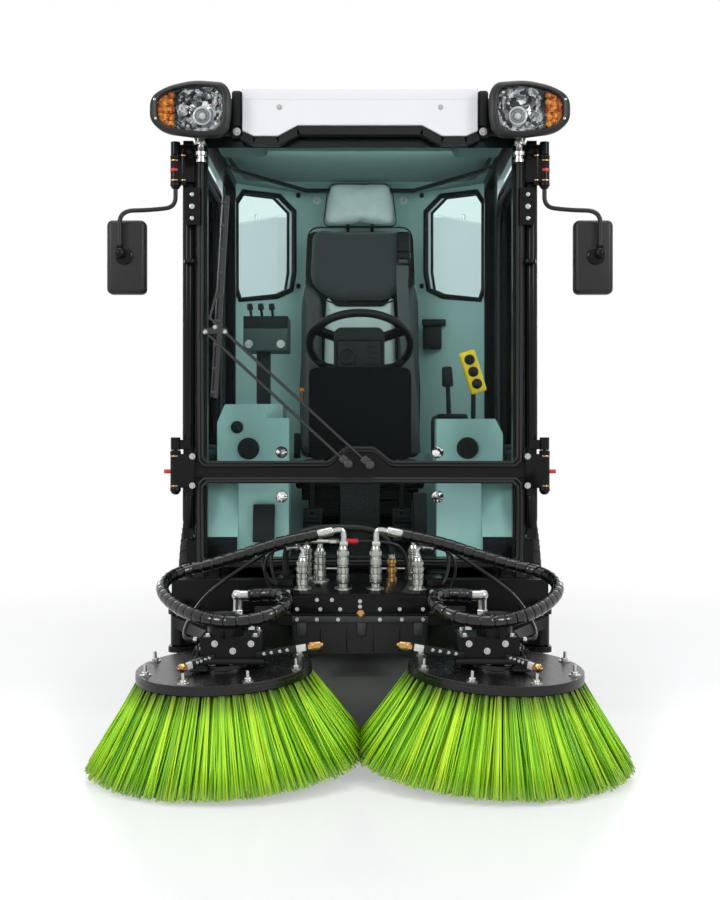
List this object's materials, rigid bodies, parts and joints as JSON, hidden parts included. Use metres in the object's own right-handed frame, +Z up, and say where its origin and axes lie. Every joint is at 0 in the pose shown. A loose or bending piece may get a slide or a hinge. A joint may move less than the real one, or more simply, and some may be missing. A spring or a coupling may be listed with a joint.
{
  "type": "compact articulated road sweeper",
  "caption": "Compact articulated road sweeper with a glazed cab, swinging front brushes with green bristles, a suction hood and a tipping hopper.",
  "frame": {"origin": "on the ground under the middle of the machine's length", "axes": "+Z up, -Y towards the front of the machine, +X towards the machine's left as seen from its seat, which is the right-hand side when it is seen from the front"},
  "size_m": [1.672, 4.2392, 2.0989],
  "materials": {
    "frame_black": "satin powder coat",
    "panel_grey": "satin",
    "body_white": "gloss",
    "tinted_glass": "clear, slightly green",
    "lamp_body": "gloss",
    "lamp_red": "gloss",
    "seat_fabric": "woven",
    "seat_frame": "matte",
    "console_black": "matte grain",
    "trim_grey": "matte grain",
    "tyre_rubber": "matte",
    "rim_paint": "satin",
    "disc_black": "satin",
    "bristle_green": "satin strands",
    "hose_rubber": "satin",
    "duct_steel": "satin",
    "engine_iron": "cast",
    "cylinder_steel": "satin",
    "rod_chrome": "polished"
  },
  "bodies": {
    "front": {"front_frame": "frame_black", "front_axle": "frame_black", "cab_cage": "frame_black", "cab_floor": "panel_grey", "cab_rear_wall": "panel_grey", "cab_roof": "body_white", "cab_glass": "tinted_glass", "headlamps": "lamp_body", "mirrors": "frame_black", "wiper": "frame_black", "seat_base": "seat_frame", "seat_cushion": "seat_fabric", "seat_back": "seat_fabric", "dash_column": "console_black", "side_consoles": "trim_grey", "coupling_box": "frame_black", "front_curtain": "hose_rubber", "suction_hood": "duct_steel", "suction_duct": "duct_steel", "hose_left": "hose_rubber", "hose_right": "hose_rubber", "hose_thin_left": "hose_rubber", "hose_thin_right": "hose_rubber", "hose_cross": "hose_rubber"},
    "steering_wheel": {"steering_wheel": "console_black"},
    "door_left": {"door_left": "body_white", "door_glass_left": "tinted_glass"},
    "door_right": {"door_right": "body_white", "door_glass_right": "tinted_glass"},
    "wheel_front_left": {"tyre_front_left": "tyre_rubber", "rim_front_left": "rim_paint"},
    "wheel_front_right": {"tyre_front_right": "tyre_rubber", "rim_front_right": "rim_paint"},
    "wheel_rear_left": {"tyre_rear_left": "tyre_rubber", "rim_rear_left": "rim_paint"},
    "wheel_rear_right": {"tyre_rear_right": "tyre_rubber", "rim_rear_right": "rim_paint"},
    "brush_arm_left": {"brush_arm_left": "frame_black"},
    "brush_arm_right": {"brush_arm_right": "frame_black"},
    "brush_left": {"brush_disc_left": "disc_black", "bristles_left": "bristle_green"},
    "brush_right": {"brush_disc_right": "disc_black", "bristles_right": "bristle_green"},
    "rear": {"rear_frame": "frame_black", "rear_axle": "frame_black", "engine_block": "engine_iron", "engine_cowl": "frame_black", "side_tanks": "panel_grey", "suction_elbow": "duct_steel", "rear_lamps": "lamp_red"},
    "hopper": {"hopper": "body_white"},
    "tailgate": {"tailgate": "body_white"},
    "tip_barrels": {"tip_barrels": "cylinder_steel"},
    "tip_rods": {"tip_rods": "rod_chrome"},
    "steer_barrel": {"steer_barrel": "cylinder_steel"},
    "steer_rod": {"steer_rod": "rod_chrome"}
  },
  "joints": [
    {"name": "articulation", "type": "hinge", "parent": "front", "child": "rear", "pos_m": [0, 0.3796, 0.48], "axis": [0, 0, 1], "range_deg": [-36, 36]},
    {"name": "steering", "type": "hinge", "parent": "front", "child": "steering_wheel", "pos_m": [0, -0.5704, 1.285], "axis": [0, 0.5446, 0.8387], "continuous": true},
    {"name": "door_left_hinge", "type": "hinge", "parent": "front", "child": "door_left", "pos_m": [-0.614, -1.0804, 1.2], "axis": [0, 0, 1], "range_deg": [0, 75]},
    {"name": "door_right_hinge", "type": "hinge", "parent": "front", "child": "door_right", "pos_m": [0.614, -1.0804, 1.2], "axis": [0, 0, -1], "range_deg": [0, 75]},
    {"name": "brush_arm_left_swing", "type": "hinge", "parent": "front", "child": "brush_arm_left", "pos_m": [-0.56, -1.3204, 0.33], "axis": [0, 0, -1], "range_deg": [0, 42], "deforming": ["hose_left", "hose_thin_left"]},
    {"name": "brush_arm_right_swing", "type": "hinge", "parent": "front", "child": "brush_arm_right", "pos_m": [0.56, -1.3204, 0.33], "axis": [0, 0, 1], "range_deg": [0, 42], "deforming": ["hose_right", "hose_thin_right"]},
    {"name": "brush_left_spin", "type": "hinge", "parent": "brush_arm_left", "child": "brush_left", "pos_m": [-0.378, -1.7704, 0.28], "axis": [-0.0454, -0.0592, 0.9972], "continuous": true},
    {"name": "brush_right_spin", "type": "hinge", "parent": "brush_arm_right", "child": "brush_right", "pos_m": [0.378, -1.7704, 0.28], "axis": [0.0454, -0.0592, 0.9972], "continuous": true},
    {"name": "wheel_front_left_roll", "type": "hinge", "parent": "front", "child": "wheel_front_left", "pos_m": [-0.55, -0.4504, 0.36], "axis": [1, 0, 0], "continuous": true},
    {"name": "wheel_front_right_roll", "type": "hinge", "parent": "front", "child": "wheel_front_right", "pos_m": [0.55, -0.4504, 0.36], "axis": [1, 0, 0], "continuous": true},
    {"name": "wheel_rear_left_roll", "type": "hinge", "parent": "rear", "child": "wheel_rear_left", "pos_m": [-0.55, 1.2096, 0.36], "axis": [1, 0, 0], "continuous": true},
    {"name": "wheel_rear_right_roll", "type": "hinge", "parent": "rear", "child": "wheel_rear_right", "pos_m": [0.55, 1.2096, 0.36], "axis": [1, 0, 0], "continuous": true},
    {"name": "hopper_tip", "type": "hinge", "parent": "rear", "child": "hopper", "pos_m": [0, 1.9696, 0.955], "axis": [-1, 0, 0], "range_deg": [0, 50]},
    {"name": "tailgate_swing", "type": "hinge", "parent": "hopper", "child": "tailgate", "pos_m": [0, 2.0156, 1.962], "axis": [1, 0, 0], "range_deg": [0, 80]},
    {"name": "tip_barrel_lean", "type": "hinge", "parent": "rear", "child": "tip_barrels", "pos_m": [0, 1.3896, 0.42], "axis": [-1, 0, 0], "range_deg": [0, 2]},
    {"name": "tip_rod_slide", "type": "slide", "parent": "tip_barrels", "child": "tip_rods", "axis": [0, 0.2672, 0.9637], "range_m": [0, 0.38]},
    {"name": "steer_barrel_turn", "type": "hinge", "parent": "front", "child": "steer_barrel", "pos_m": [-0.23624, 0.05682, 0.345], "axis": [0, 0, 1], "range_deg": [-20, 20]},
    {"name": "steer_rod_slide", "type": "slide", "parent": "steer_barrel", "child": "steer_rod", "axis": [0, 1, 0], "range_m": [-0.16, 0.16]}
  ],
  "couplings": [
    {"joint": "tip_barrel_lean", "follows": "hopper_tip", "ratio": 0.018},
    {"joint": "tip_rod_slide", "follows": "hopper_tip", "m_per_rad": 0.42605},
    {"joint": "steer_barrel_turn", "follows": "articulation", "ratio": 0.5},
    {"joint": "steer_rod_slide", "follows": "articulation", "m_per_rad": -0.232}
  ]
}
